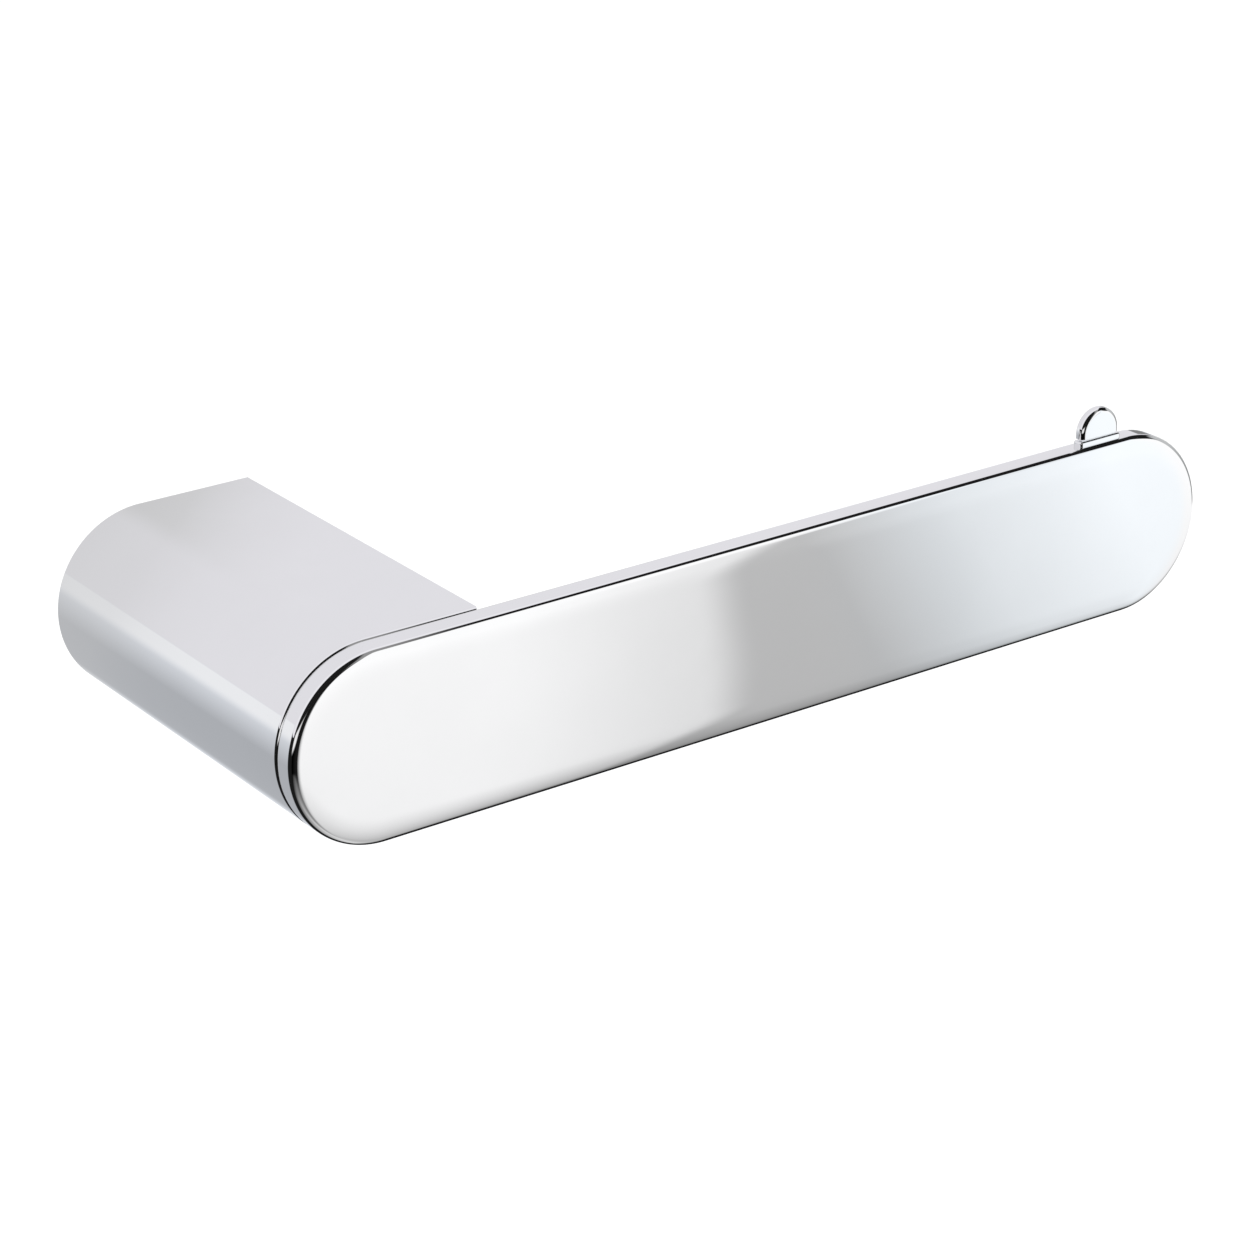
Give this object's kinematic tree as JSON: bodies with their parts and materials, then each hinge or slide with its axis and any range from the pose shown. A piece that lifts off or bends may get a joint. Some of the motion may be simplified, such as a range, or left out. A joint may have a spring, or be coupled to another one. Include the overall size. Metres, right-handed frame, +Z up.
{
  "type": "toilet paper holder",
  "caption": "Open-ended wall toilet roll holder: flat bar with round ends on a hollow post, small stop at the free end, hidden wall bracket.",
  "frame": {"origin": "on the wall plane, at the centre of the wall bracket's two screw holes, which is also mid-width and mid-height of the post", "axes": "+X along the bar towards its free end, +Y into the wall, +Z up"},
  "size_m": [0.17, 0.07, 0.0357],
  "materials": {
    "post_chrome": "mirror-polished chrome plate on a brass casting",
    "bar_chrome": "mirror-polished chrome plate on solid brass",
    "stop_chrome": "mirror-polished chrome plate on solid brass",
    "raw_brass": "milled brass, unplated",
    "screw_steel": "zinc-plated steel, satin",
    "washer_steel": "zinc-plated steel, bright",
    "bracket_zinc": "zinc-plated steel bracket, satin with faint machining marks",
    "set_screw_steel": "stainless steel, satin"
  },
  "bodies": {
    "root": {"post_shell": "post_chrome", "roll_bar": "bar_chrome", "roll_stop": "stop_chrome", "bar_thread_pad": "raw_brass", "bar_screw_left": "screw_steel", "bar_screw_right": "screw_steel", "spring_washer_left": "washer_steel", "spring_washer_right": "washer_steel", "flat_washer_left": "washer_steel", "flat_washer_right": "washer_steel", "wall_bracket": "bracket_zinc", "set_screw": "set_screw_steel"}
  },
  "joints": []
}
